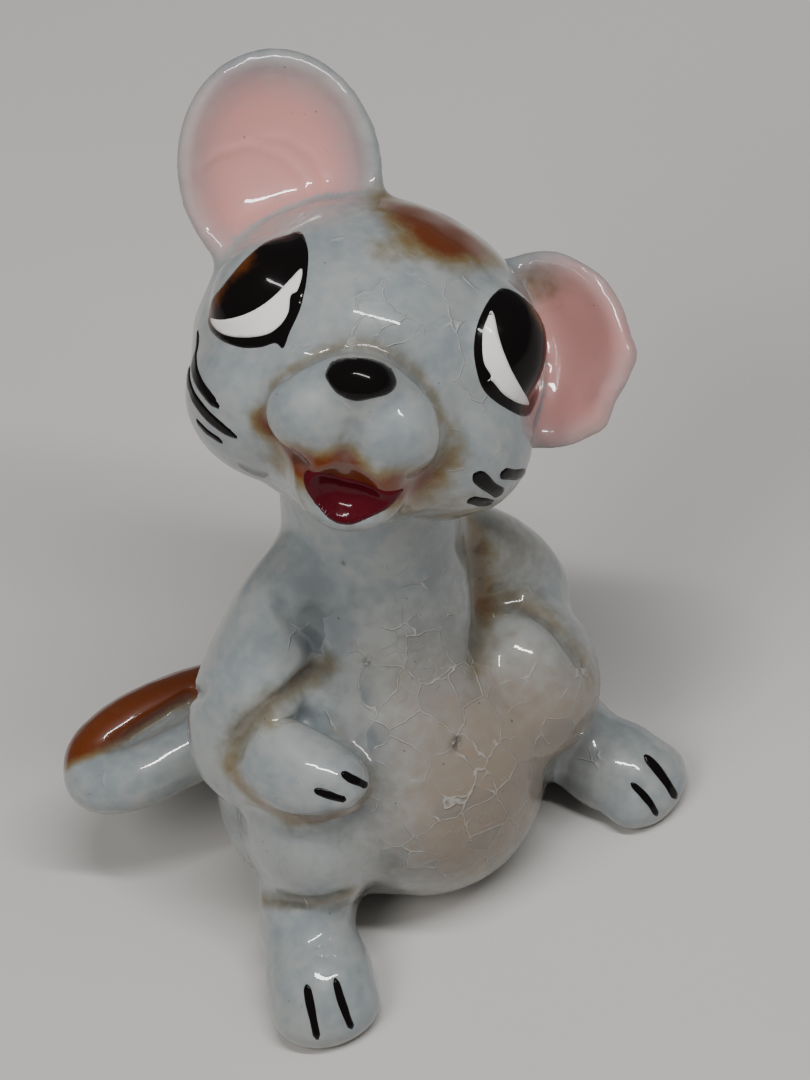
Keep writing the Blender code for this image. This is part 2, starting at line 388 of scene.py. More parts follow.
class Window:
    """Places seen from the front and above onto a node's box, in millimetres across and up."""

    def __init__(self, node, share):
        low, high = (Vector(corner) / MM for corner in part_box(node))
        self.origin = low + Vector([(b - a) * part for a, b, part in zip(low, high, share)])
        azimuth = math.radians(VIEW_AZIMUTH)
        self.right = Vector((math.cos(azimuth), math.sin(azimuth), 0.0))
        self.back = towards_camera()
        self.up = self.back.cross(self.right)

    def ray(self, across, up):
        return self.origin + self.right * across + self.up * up + self.back * 60.0, -self.back

    def flat(self, points):
        offset = points - np.array(self.origin)
        return np.stack([offset @ np.array(self.right), offset @ np.array(self.up)], 1)

    def depth(self, points):
        return (points - np.array(self.origin)) @ np.array(self.back)


def closed_curve(points, steps=8):
    """A smooth outline through points."""
    outline = []
    count = len(points)
    for i in range(count):
        before, start, end, after = (np.array(points[(i + k) % count], float) for k in (-1, 0, 1, 2))
        for step in range(steps):
            t = step / steps
            outline.append(0.5 * (2 * start + (end - before) * t
                                  + (2 * before - 5 * start + 4 * end - after) * t ** 2
                                  + (3 * start - before - 3 * end + after) * t ** 3))
    return np.array(outline)


def stroke_outline(points, width, taper):
    """The outline of one brush stroke, which starts full and thins by the share taper as it lifts off."""
    points = np.array(points, float)
    count = 14
    along = np.linspace(0, len(points) - 1, count)
    middle = np.stack([np.interp(along, range(len(points)), points[:, i]) for i in (0, 1)], 1)
    ahead = np.gradient(middle, axis=0)
    side = np.stack([-ahead[:, 1], ahead[:, 0]], 1) / np.linalg.norm(ahead, axis=1)[:, None]
    share = np.linspace(0, 1, count)[:, None]
    start = np.clip(1 - (1 - share / 0.16).clip(0) ** 2, 0.08, 1)
    end = np.clip(1 - (1 - (1 - share) / 0.12).clip(0) ** 2, 0.08, 1)
    uneven = 1 + 0.08 * np.sin(9 * share + width * 7)
    half = width / 2 * np.sqrt(start * end) * (1 - taper * share ** 2) * uneven
    return np.concatenate([middle + side * half, (middle - side * half)[::-1]])


def within(points, outline):
    """Which points lie inside an outline, by counting crossings."""
    inside = np.zeros(len(points), bool)
    for (x0, y0), (x1, y1) in zip(outline, np.roll(outline, -1, 0)):
        spans = (points[:, 1] < y0) != (points[:, 1] < y1)
        reach = np.divide(x1 - x0, y1 - y0) if y1 != y0 else 0.0
        inside ^= spans & (points[:, 0] < x0 + (points[:, 1] - y0) * reach)
    return inside


def outline_distance(points, outline):
    best = np.full(len(points), np.inf)
    for start, end in zip(outline, np.roll(outline, -1, 0)):
        along = end - start
        share = np.clip(((points - start) @ along) / max(along @ along, 1e-12), 0, 1)[:, None]
        best = np.minimum(best, np.linalg.norm(points - start - share * along, axis=1))
    return best


def coat(outline, place, skin, spacing, scale, height=ENAMEL_HEIGHT, base=0.0):
    """A thin closed coat inside an outline, laid on the skin: its points and faces.

    place turns the outline's units into a ray, and scale is their size in millimetres. base is the
    height of the coat that this one is painted over.
    """
    low, high = outline.min(0), outline.max(0)
    across = np.arange(low[0], high[0], spacing)
    up = np.arange(low[1], high[1], spacing * 0.87)
    lattice = np.array([(x + spacing / 2 * (j % 2), y) for j, y in enumerate(up) for x in across])
    lattice = lattice[within(lattice, outline)]
    lattice = lattice[outline_distance(lattice, outline) > spacing * 0.55]
    flat = np.concatenate([outline, lattice])
    count = len(outline)
    rim = [(i, (i + 1) % count) for i in range(count)]
    flat_points, _, faces, _, _, _ = geometry.delaunay_2d_cdt([Vector(p) for p in flat], rim, [], 1, 1e-6)
    flat = np.array([tuple(p) for p in flat_points])
    depth = outline_distance(flat, outline) * scale
    rise = height * np.sqrt(np.clip(1 - (1 - depth / ENAMEL_EDGE).clip(0) ** 2, 0, 1))
    top = []
    bottom = []
    for (u, v), lift in zip(flat, rise):
        hit, normal = skin.hit(*place(u, v))
        top.append(hit + normal * (lift + base + 0.01))
        bottom.append(hit + normal * (base * 0.5 - ENAMEL_FOOT))
    total = len(top)
    faces = [tuple(face) for face in faces]
    a, b, c = (top[i] for i in faces[0][:3])
    into_skin = place(*flat[faces[0][0]])[1]
    if (b - a).cross(c - a).dot(into_skin) > 0:
        faces = [face[::-1] for face in faces]
    edges = dict.fromkeys((a, b) for face in faces for a, b in zip(face, face[1:] + face[:1]))
    walls = [(b, a, a + total, b + total) for a, b in edges if (b, a) not in edges]
    under = [tuple(i + total for i in face[::-1]) for face in faces]
    return top + bottom, faces + under + walls


# ------------------------------------ meshes and nodes of materials

def make_piece(name, points, faces, material, attributes, normals=None):
    mesh = bpy.data.meshes.new(name)
    mesh.from_pydata([tuple(p) for p in np.asarray(points) * MM], [], [tuple(f) for f in faces])
    mesh.shade_smooth()
    for key, values in attributes.items():
        layer = mesh.attributes.new(key, "FLOAT", "POINT")
        layer.data.foreach_set("value", np.asarray(values, np.float32))
    if normals is not None:
        mesh.normals_split_custom_set_from_vertices([tuple(n) for n in normals])
    mesh.materials.append(material)
    obj = bpy.data.objects.new(name, mesh)
    bpy.context.scene.collection.objects.link(obj)
    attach(obj, "root")
    return obj


class Shader:
    """A short way to write a material's nodes."""

    def __init__(self, name):
        self.material = bpy.data.materials.new(name)
        self.material.use_nodes = True
        self.tree = self.material.node_tree
        self.surface = self.tree.nodes["Principled BSDF"]
        self.place = self.node("ShaderNodeTexCoord").outputs["Object"]

    def node(self, kind, inputs=None, **settings):
        made = self.tree.nodes.new(kind)
        for key, value in settings.items():
            setattr(made, key, value)
        self.feed(made, inputs or {})
        return made

    def feed(self, node, inputs):
        """Set a node's inputs, each to a value or to a link from another node's output."""
        for key, value in inputs.items():
            if isinstance(value, bpy.types.NodeSocket):
                self.tree.links.new(value, node.inputs[key])
            else:
                node.inputs[key].default_value = value

    def attribute(self, name):
        return self.node("ShaderNodeAttribute", attribute_name=name).outputs["Fac"]

    def math(self, operation, a, b, clamp=False):
        return self.node("ShaderNodeMath", {0: a, 1: b}, operation=operation, use_clamp=clamp).outputs[0]

    def plus(self, a, b):
        return self.math("ADD", a, b)

    def times(self, a, b):
        return self.math("MULTIPLY", a, b)

    def swing(self, noise, amount):
        """Noise moved to lie on both sides of zero, amount wide."""
        return self.times(self.math("SUBTRACT", noise, 0.5), amount)

    def noise(self, size, detail=2.0, offset=0.0):
        """Noise whose features are about size millimetres across, from 0 to 1."""
        made = self.node("ShaderNodeTexNoise", {"Vector": self.shifted(offset), "Scale": 1 / (size * MM),
                                                "Detail": detail})
        return made.outputs["Fac"]

    def shifted(self, offset):
        if not offset:
            return self.place
        shift = (offset, offset * 0.7, offset * 0.4)
        return self.node("ShaderNodeVectorMath", {0: self.place, 1: shift}, operation="ADD").outputs[0]

    def ramp(self, value, low, high):
        made = self.node("ShaderNodeMapRange", {"Value": value, "From Min": low, "From Max": high},
                         interpolation_type="SMOOTHSTEP")
        return made.outputs["Result"]

    def blend(self, share, *colours):
        a, b = (c if isinstance(c, bpy.types.NodeSocket) else (*c, 1.0) for c in colours)
        return self.node("ShaderNodeMix", {0: share, 6: a, 7: b}, data_type="RGBA").outputs[2]

    def bump(self, height, distance, strength, normal=None):
        """Bump from a height of 0 to 1 that stands for distance millimetres."""
        made = self.node("ShaderNodeBump", {"Height": height, "Distance": distance * MM,
                                            "Strength": strength})
        if normal:
            self.feed(made, {"Normal": normal})
        return made.outputs["Normal"]

    def swirled(self, size, warp):
        """The place, pushed about by noise so that cells drawn from it are crooked."""
        swirl = self.node("ShaderNodeTexNoise", {"Vector": self.place, "Scale": 1 / (size * 0.9 * MM),
                                                 "Detail": 3.0})
        scaled = self.node("ShaderNodeVectorMath", {0: swirl.outputs["Color"], "Scale": size * MM * warp},
                           operation="SCALE")
        moved = self.node("ShaderNodeVectorMath", {0: self.place, 1: scaled.outputs[0]}, operation="ADD")
        return moved.outputs[0]

    def cells(self, size, warp, feature):
        where = {"Vector": self.swirled(size, warp), "Scale": 1 / (size * MM)}
        return self.node("ShaderNodeTexVoronoi", where, feature=feature)

    def cracks(self, size, width, warp):
        """Crazing: the edges of cells about size millimetres across, 1 on the line and 0 off it."""
        distance = self.cells(size, warp, "DISTANCE_TO_EDGE").outputs["Distance"]
        half = width / size / 2
        return self.math("SUBTRACT", 1.0, self.ramp(distance, half * 0.3, half * 1.6))

    def cell_values(self, size, warp):
        """A steady random value for each cell between the cracks."""
        return self.cells(size, warp, "F1").outputs["Color"]


GLAZE_GREY = (0.262, 0.278, 0.272)
GLAZE_BLUE = (0.192, 0.220, 0.234)
GLAZE_WARM = (0.215, 0.172, 0.132)
GLAZE_PINK = (0.510, 0.232, 0.214)
GLAZE_OLIVE = (0.150, 0.115, 0.055)
GLAZE_BROWN = (0.105, 0.020, 0.001)
GLAZE_SMOKE = (0.085, 0.102, 0.114)
CRACK_LIGHT = (0.40, 0.39, 0.37)
GRIT = (0.03, 0.03, 0.035)


def glaze_material():
    """Crazed, glossy grey glaze with pink and brown airbrushing, painted crease shade and painted reflected
    light from below, which attributes on the skin place.
    """
    s = Shader("crazed_glaze")
    cloud = s.noise(5.0, 3.0)
    fine = s.noise(0.9, 4.0, offset=0.3)
    grain = s.noise(0.22, 2.0, offset=0.7)
    mottle = s.plus(s.times(cloud, 0.6), s.times(fine, 0.4))
    colour = s.blend(s.ramp(mottle, 0.38, 0.64), GLAZE_GREY, GLAZE_BLUE)
    # A tan tint on the belly, chest and left haunch: partly airbrushed, partly painted light reflected up
    # from below onto the lower body.
    warm_tint_and_bounce = s.plus(s.attribute("warm_tint_and_bounce"), s.swing(fine, 0.6))
    colour = s.blend(s.ramp(warm_tint_and_bounce, 0.1, 1.1), colour, GLAZE_WARM)

    pink = s.plus(s.attribute("pink"), s.swing(fine, 0.25))
    colour = s.blend(s.ramp(pink, 0.0, 1.1), colour, GLAZE_PINK)

    brown = s.plus(s.attribute("brown"), s.swing(fine, 0.35))
    colour = s.blend(s.ramp(brown, 0.05, 0.55), colour, GLAZE_OLIVE)
    grained = s.plus(brown, s.swing(grain, 0.35))
    colour = s.blend(s.ramp(grained, 0.35, 1.0), colour, GLAZE_BROWN)

    # Painted shade in the pressed creases: a smoky blue-grey darkening that is stronger in deeper creases.
    crease_shade = s.times(s.attribute("crease_shade"), s.plus(0.15, s.times(fine, 0.4)))
    colour = s.blend(crease_shade, colour, GLAZE_SMOKE)

    lines = s.cracks(2.8, 0.10, 0.6)
    hair = s.cracks(1.3, 0.05, 0.9)
    where = s.plus(s.attribute("craze"), s.swing(s.noise(2.4, 2.0, offset=2.3), 2.2))
    shown = s.times(lines, s.ramp(where, 0.30, 0.75))
    faint = s.times(hair, s.ramp(where, 0.85, 1.25))
    plates = s.ramp(s.cell_values(2.8, 0.6), 0.35, 0.65)
    pool = s.math("MULTIPLY", s.attribute("pool"), s.plus(0.35, plates), clamp=True)
    colour = s.blend(s.times(pool, 0.75), colour, GLAZE_SMOKE)
    plated = s.times(s.times(plates, s.ramp(where, 0.2, 0.9)), 0.24)
    colour = s.blend(plated, colour, GLAZE_SMOKE)
    colour = s.blend(s.times(shown, 0.50), colour, CRACK_LIGHT)
    colour = s.blend(s.times(faint, 0.34), colour, CRACK_LIGHT)

    grit = s.ramp(s.noise(0.5, 1.0, offset=1.9), 0.78, 0.81)
    spots = s.times(s.attribute("speck"), s.ramp(s.noise(0.35, 2.0, offset=3.1), 0.38, 0.52))
    dirt = s.math("MAXIMUM", s.times(grit, 0.6), s.times(spots, 0.75))
    colour = s.blend(dirt, colour, GRIT)

    ripple = s.bump(s.noise(2.4, 2.0, offset=0.5), 0.04, 0.5)
    raised = s.math("MAXIMUM", shown, s.times(faint, 0.6))
    dulled = s.times(s.ramp(s.attribute("craze"), 0.25, 0.9), 0.6)
    s.feed(s.surface, {
        "Base Color": colour,
        "Roughness": s.plus(0.32, s.times(fine, 0.14)),
        "Normal": s.bump(raised, 0.09, 0.9, ripple),
        "Coat Weight": s.math("SUBTRACT", 1.0, dulled),
        "Coat Roughness": 0.04,
        "Specular IOR Level": 0.25,
        "Subsurface Weight": 0.10,
        "Subsurface Radius": (0.0012, 0.0008, 0.0006),
        "Subsurface Scale": 1.0,
    })
    return s.material


def enamel_material(name, colour, thin_colour):
    """Glossy painted enamel, which shows thin_colour where the coat is thin."""
    s = Shader(name)
    brush = s.noise(0.5, 3.0, offset=0.4)
    thin = s.plus(s.attribute("thin"), s.swing(brush, 0.5))
    s.feed(s.surface, {
        "Base Color": s.blend(s.ramp(thin, 0.2, 1.0), colour, thin_colour),
        "Roughness": s.plus(0.12, s.times(brush, 0.12)),
        "Normal": s.bump(s.noise(0.7, 3.0), 0.015, 0.4),
        "Specular IOR Level": 0.05,
        "Coat Weight": 0.40,
        "Coat IOR": 1.4,
        "Coat Roughness": 0.04,
    })
    return s.material


# ------------------------------------ tooling marks in the soft clay

# Lines on the head are in degrees of yaw and pitch. Lines on the other pieces are in millimetres
# across and up, in that piece's window.
MUZZLE = [(-29, -29), (-32, -24), (-32.5, -19), (-30, -12), (-24, -6), (-19, 0), (-13, 4.5), (-6, 7),
          (2, 8), (11, 6), (20, 1.5), (25, -4), (28, -10), (31.5, -17), (34, -25), (32, -31)]
SMILE = [(-32, -24), (-28, -28), (-22, -30.5), (-14, -32.5), (-5, -34)]
UPPER_LIP = [(-15, -31.5), (-7, -33), (1, -34), (9, -34), (17, -33.5), (25, -32)]
PHILTRUM = [(0, -14), (0.5, -20), (0, -26), (0, -33)]
LIP = [(-16, -33), (-14, -39), (-8, -46), (0, -50), (6, -50.5), (13, -48), (20, -42), (25, -35)]
ELBOW = [(-9.3, 3.0), (-8.3, 4.7), (-6.8, 6.0), (-5.2, 6.9), (-3.4, 7.4), (-1.9, 7.8), (-0.6, 8.3)]
ARMPIT = [(-2.9, 14.6), (-2.6, 12.8), (-1.9, 11.2), (-1.2, 9.8), (-0.9, 8.3)]
ANKLE = [(-1.8, 7.1), (-0.5, 6.6), (1.6, 6.1), (3.4, 5.9), (4.6, 6.1)]
TAIL_FOLD = [(2.0, 3.3), (1.0, 3.0), (0.0, 2.6), (-1.7, 2.1), (-3.3, 1.6), (-5.0, 1.1), (-7.2, 0.8)]
CHEST_EDGE = [(8.6, 9.0), (8.5, 6.5), (8.2, 4.4), (7.7, 2.2), (7.2, 0.3), (6.2, -1.6)]
HAUNCH_EDGE = [(8.2, 2.6), (10.4, 2.2), (12.2, 0.5), (13.5, -2.2), (14.1, -4.7)]
HAND_EDGE = [(-5.4, 5.2), (-3.5, 4.8), (-1.3, 3.7), (0.2, 1.7), (0.4, -0.7), (-0.8, -2.0), (-3.6, -2.3),
             (-6.2, -1.5), (-8.6, 1.2)]
CUP_RIDGES = [
    [(-5.2, 0.0), (-3.4, 0.8), (-1.3, 0.8), (0.6, -0.4), (1.6, -2.0), (1.8, -3.6)],
    [(-0.8, 1.2), (1.3, 0.6), (2.7, -0.9), (3.1, -2.8), (2.2, -4.4)],
]
# Each mark is a line with its depth and width in millimetres.
MARKS = {
    "head": [(MUZZLE, 0.62, 0.85), (SMILE, 0.45, 0.5), (PHILTRUM, 0.42, 0.75), (LIP, -0.22, 0.5)],
    "arm_right": [(ELBOW, 0.75, 0.85), (ARMPIT, 0.55, 0.6), (HAND_EDGE, 0.35, 0.85)],
    "foot_right": [(ANKLE, 0.45, 0.7)],
    "tail": [(TAIL_FOLD, 0.65, 0.5)],
    "body": [(CHEST_EDGE, 0.65, 0.95), (HAUNCH_EDGE, 0.55, 0.8)],
    "ear_right": [(line, -0.09, 0.30) for line in CUP_RIDGES],
}
TOE_GROOVE = 0.18
MOUTH_DEPTH = 0.25
# Forms pushed out a little: the place, and the radius and height in millimetres.
SWELLINGS = [
    ("head", -14, -21, 2.4, 0.20), ("head", 16, -21, 2.5, 0.20), ("head", 1, 15, 3.0, 0.35),
    ("head", 5, -43, 1.8, 0.35),
    ("arm_right", -5.6, 6.4, 2.4, 1.1), ("arm_right", -4.6, 4.2, 2.2, 0.50),
    ("body", 2.5, 4.5, 4.0, 0.4),
]
# Windows: the node, the place of the window's zero as shares of the node's box.
WINDOWS = {
    "arm_right": (0.72, 0.10, 0.32),
    "foot_right": (0.38, 0.30, 0.60),
    "foot_left": (0.62, 0.30, 0.60),
    "tail": (0.5, 0.5, 0.5),
    "body": (0.5, 0.5, 0.5),
    "ear_right": (0.5, 0.5, 0.5),
    "ear_left": (0.5, 0.5, 0.5),
}


def path_distance(points, path):
    """How far points are from a path, and how far along it they are, from 0 to 1."""
    best = np.full(len(points), np.inf)
    along_path = np.zeros(len(points))
    for i, (start, end) in enumerate(zip(path, path[1:])):
        along = end - start
        share = np.clip(((points - start) @ along) / max(along @ along, 1e-12), 0, 1)
        distance = np.linalg.norm(points - start - share[:, None] * along, axis=1)
        closer = distance < best
        best = np.where(closer, distance, best)
        along_path = np.where(closer, (i + share) / (len(path) - 1), along_path)
    return best, along_path


def tool_marks(points, normals, skin, head, rays):
    """Creases and ridges pressed into the clay: the moved points, and how much painted shade each crease
    gets.
    """
    crease_shade = np.zeros(len(points))
    move = np.zeros(len(points))
    marks = [(rays[place], *mark) for place, place_marks in MARKS.items() for mark in place_marks]
    marks += [(rays[node], line, TOE_GROOVE, 0.42) for node, lines in CLAWS.items() for line, _ in lines]
    for place, line, depth, width in marks:
        distance, along = path_distance(points, skin.line(place, line))
        ends = np.clip(np.minimum(along, 1 - along) / 0.15, 0, 1) ** 0.7
        press = np.exp(-(distance / width) ** 2) * (0.15 + 0.85 * ends)
        move += depth * press
        # A deeper press gets more painted shade.
        crease_shade = np.maximum(crease_shade, np.clip(depth / 0.5, 0, 1) * press)
    for place, across, up, radius, height in SWELLINGS:
        move -= height * line_spray(points, skin, rays[place], [(across, up)], radius)
    near_mouth = np.linalg.norm(points - skin.line(head.ray, [(5, -38)])[0], axis=1) < 7
    outline = closed_curve(MOUTH)
    angles = head.angles(points[near_mouth])
    inward = np.where(within(angles, outline), outline_distance(angles, outline), 0)
    move[near_mouth] += MOUTH_DEPTH * np.clip(inward / 3.5, 0, 1)
    return points - normals * move[:, None], crease_shade


# The left ear's rim, in its window: a place, how far it is pushed out, and the radius.
RIM_NUDGES = [((4.9, -1.9), 0.40, 1.0), ((2.7, -4.4), -0.42, 1.2), ((1.7, -6.2), 0.25, 0.9),
              ((3.4, 5.4), -0.15, 1.3)]
EAR_DEPTH = 7.0  # the window looks past the ear to the head, which keeps its shape


def nudge_ear(points, windows):
    """The uneven rim of the left ear: two corners pushed out and two dents."""
    window = windows["ear_left"]
    across, up = window.flat(points).T
    away = np.stack([across, up], 1) / np.maximum(np.hypot(across, up), 1.0)[:, None]
    for centre, amount, radius in RIM_NUDGES:
        near = np.exp(-((across - centre[0]) ** 2 + (up - centre[1]) ** 2) / radius ** 2) * amount
        near = near * (np.abs(window.depth(points)) < EAR_DEPTH)
        points = points + (near * away[:, 0])[:, None] * np.array(window.right)
        points = points + (near * away[:, 1])[:, None] * np.array(window.up)
    return points


# ------------------------------------ airbrushing and painted shade, as attributes on the skin

EAR_PINK = {
    "ear_right": [(-6.0, -3.2), (-5.5, 0.1), (-4.0, 3.2), (-1.8, 5.0), (0.8, 5.2), (3.3, 4.1), (5.0, 2.1),
                  (5.5, -0.8), (5.2, -3.2), (3.8, -4.9), (0.9, -5.4), (-3.2, -6.0), (-5.0, -5.2)],
    "ear_left": [(-0.8, 4.6), (1.0, 5.4), (3.0, 5.0), (4.6, 3.2), (5.4, 0.6), (5.5, -1.6), (4.2, -3.2),
                 (3.0, -4.6), (1.8, -6.4), (-0.8, -6.6), (-3.0, -5.6), (-3.4, -1.5), (-3.0, 2.0)],
}
EAR_ROOT = [(-0.9, 4.5), (0.6, 4.4)]
TAIL_BROWN = [(3.0, 2.6), (0.6, 2.5), (-1.7, 2.2), (-3.3, 1.7), (-5.6, 1.0), (-7.5, 0.7), (-9.4, 0.5),
              (-11.4, 0.2), (-12.5, 3.0), (-8.0, 7.0), (3.0, 8.0)]
# On the head: yaw, pitch, radius in millimetres and strength. The crown and muzzle bursts are airbrushed
# brown; the five below the mouth paint shade and reflected light under the chin and jaw.
HEAD_BROWN = [
    (30, 58, 2.4, 1.0), (50, 58, 2.2, 1.0), (42, 70, 2.6, 1.0), (14, 66, 2.2, 0.8), (0, 74, 2.2, 0.75),
    (-24, 80, 2.0, 0.5), (10, 53, 2.0, 0.45), (-2, 46, 1.8, 0.28), (66, 55, 1.8, 0.6), (28, 48, 1.6, 0.3),
    (0, -28, 1.3, 0.6), (1, -31, 1.7, 0.65), (30, -30, 2.2, 0.5), (36, -23, 1.8, 0.42), (34, -14, 1.2, 0.3),
    (19, -29, 1.9, 0.32), (-17, -28, 1.6, 0.26), (-34, -27, 1.2, 0.2),
    # Below the mouth: painted shade and reflected light under the chin and jaw.
    (-28, -40, 1.6, 0.35), (34, -40, 2.6, 0.38), (12, -54, 2.0, 0.30), (50, -38, 2.2, 0.25),
    (-14, -46, 1.6, 0.3),
]
# Soft strokes of brown: the window, or the head, and the line, radius and strength. Round the muzzle they
# are airbrushed; along the elbow, hand, chest, haunch and ankle creases they are painted shade.
BROWN_STROKES = [
    ("head", MUZZLE[3:13], 0.6, 0.40), ("head", SMILE, 1.1, 0.70), ("head", UPPER_LIP, 1.4, 0.90),
    # Painted shade: brown along the creases of the elbow, hand, chest and haunch and, further on, the
    # ankle.
    ("arm_right", ELBOW, 1.2, 0.44), ("arm_right", HAND_EDGE[5:], 1.2, 0.50),
    ("arm_right", HAND_EDGE[:5], 0.8, 0.22), ("body", CHEST_EDGE, 1.2, 0.36),
    ("body", HAUNCH_EDGE, 1.0, 0.28), ("foot_right", ANKLE, 0.8, 0.35),
]
# Specks of dark grit in the glaze, and places where it pooled blue, in the body's window.
SPECKS = [(3.4, -6.5, 0.42), (3.7, -6.0, 0.3), (-1.1, 0.9, 0.35), (-0.8, 8.2, 0.22)]
POOLS = [(-3.5, 3.2, 1.6), (-3.0, -4.6, 1.7), (-3.6, 0.6, 1.3), (-2.6, -1.5, 1.2), (-4.2, 5.0, 1.0)]
# Crazing on the head: yaw, pitch, radius in millimetres and strength.
HEAD_CRAZE = [(40, 0, 4.0, 0.9), (-2, 17, 4.5, 0.65), (30, 26, 3.5, 0.6)]


def box_point(node, *share):
    low, high = (np.array(corner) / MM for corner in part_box(node))
    return low + (high - low) * np.array(share)


def spray(points, centre, radius, strength=1.0):
    """A soft round burst of the airbrush."""
    return strength * np.exp(-(np.linalg.norm(points - centre, axis=1) / radius) ** 2)


def line_spray(points, skin, place, line, radius, strength=1.0):
    """A soft stroke of the airbrush along a line, or one burst where the line is a single place."""
    path = skin.line(place, line)
    if len(path) == 1:
        return spray(points, path[0], radius, strength)
    return strength * np.exp(-(path_distance(points, path)[0] / radius) ** 2)


def masked(window, points, normals, outline, soft):
    """1 well inside an outline seen through a window, falling to 0 a soft edge beyond it."""
    flat = window.flat(points)
    outline = closed_curve(outline)
    near = (np.abs(flat).max(1) < 16) & (np.abs(window.depth(points)) < 12)
    result = np.zeros(len(points))
    distance = outline_distance(flat[near], outline)
    signed = np.where(within(flat[near], outline), distance, -distance)
    faces_us = np.clip(normals[near] @ np.array(window.back) * 4 + 0.2, 0, 1)
    result[near] = np.clip(0.5 + signed / soft, 0, 1) * faces_us
    return result


def paint(points, normals, owner, crease_shade, skin, rays, windows):
    """The skin's paint attributes: airbrushing, glaze marks, painted shade and painted reflected light from
    below.
    """
    brown = np.zeros(len(points))
    for yaw, pitch, radius, strength in HEAD_BROWN:
        burst = line_spray(points, skin, rays["head"], [(yaw, pitch)], radius, strength)
        brown = np.maximum(brown, burst) + 0.2 * burst
    for place, line, radius, strength in BROWN_STROKES:
        brown += line_spray(points, skin, rays[place], line, radius, strength)
    # Painted shade on the left arm, which is turned away from the lamps: a wide burst of brown darkens it.
    brown += spray(points, box_point("arm_left", 0.4, 0.1, 0.75), 5.0, 0.26)
    on_tail = owner == PIECES.index("tail") + 1
    brown += masked(windows["tail"], points, normals, TAIL_BROWN, 1.2) * on_tail * 1.25
    # Painted shade and reflected light from below on the undersides: surfaces below 40 mm that face down
    # are browned, partly standing for airbrushed brown.
    brown += np.clip((0.05 - normals[:, 2]) / 0.7, 0, 1) * 0.34 * (points[:, 2] < 40)
    on_ear = owner == PIECES.index("ear_left") + 1
    brown += line_spray(points, skin, rays["ear_left"], EAR_ROOT, 1.7, 0.34) * on_ear
    pink = sum(masked(windows[ear], points, normals, outline, 4.4) * (owner == PIECES.index(ear) + 1)
               for ear, outline in EAR_PINK.items())
    belly = spray(points, box_point("body", 0.55, 0.0, 0.30), 9.0)
    chest = spray(points, box_point("body", 0.55, 0.25, 0.62), 7.5)
    haunch = spray(points, box_point("leg_left", 0.6, 0.1, 0.6), 7.0, 0.8)
    craze = np.maximum(np.maximum(belly, chest), haunch)
    for yaw, pitch, radius, strength in HEAD_CRAZE:
        burst = line_spray(points, skin, rays["head"], [(yaw, pitch)], radius, strength)
        craze = np.maximum(craze, burst)
    speck, pool = (sum(line_spray(points, skin, rays["body"], [(u, v)], radius) for u, v, radius in spots)
                   for spots in (SPECKS, POOLS))
    return {
        "brown": np.clip(brown, 0, 1),
        "pink": np.clip(pink, 0, 1),
        # Tan tint that is partly airbrush and partly painted reflected light from below.
        "warm_tint_and_bounce": np.clip(1.1 * belly + 0.5 * chest + 0.7 * haunch, 0, 1),
        "crease_shade": np.clip(crease_shade, 0, 1),
        "craze": np.clip(craze, 0, 1),
        "speck": np.clip(speck, 0, 1),
        "pool": np.clip(1.5 * pool, 0, 1),
    }


# ------------------------------------ enamel, as drawn on the mouse

EYE_RIGHT = [(-50.5, 42.5), (-45, 42.5), (-36, 36), (-30.5, 26), (-28.5, 16), (-30, 6), (-31, 0.5),
             (-34.5, 1.5), (-40, -1), (-48, -2.5), (-58, -1.5), (-66.5, 1), (-69.5, 4.5), (-65, 9.5),
             (-58, 14), (-54.3, 20), (-52.6, 27.5), (-52.8, 35)]
WHITE_RIGHT = [(-66, 4.5), (-56, 5), (-48, 7.5), (-42, 12), (-38, 18), (-36, 24), (-34.5, 29), (-32.5, 26),
               (-31.8, 21), (-33.4, 18.5), (-32.4, 13), (-34, 8), (-38, 4), (-45, 1.5), (-53, 0.5),
               (-60, 1.5)]
EYE_LEFT = [(53, 36), (46, 33.5), (41, 28.5), (38, 22), (37.5, 15), (39.5, 8.5), (43, 3), (48, -0.5),
            (56, -3), (66, -4), (76, -2), (80, 5), (74, 14), (67, 23), (60, 31)]
WHITE_LEFT = [(43, 27), (44, 20), (46.5, 14), (51, 8.5), (58, 4), (70, 0.2), (60, -0.2), (52, 1.5), (46, 5),
              (44.5, 4.6), (45, 6.5), (42, 9.8), (40.2, 14.5), (39.8, 20), (41, 24)]
NOSE = [(-10.6, -3.8), (-9.6, 0), (-5, 2), (2, 3), (7.5, 1.5), (9.5, -2), (7.8, -5), (3.5, -7.2), (-1, -9),
        (-5.6, -8.2), (-8.8, -6)]
MOUTH = [(-12.5, -34.5), (-10.5, -39), (-6, -43.5), (0, -46.5), (5.5, -47), (10.5, -45), (16, -41),
         (20, -37), (22.5, -33.5), (15, -33.5), (9, -34.5), (3, -35), (-3, -34.5), (-8, -33)]
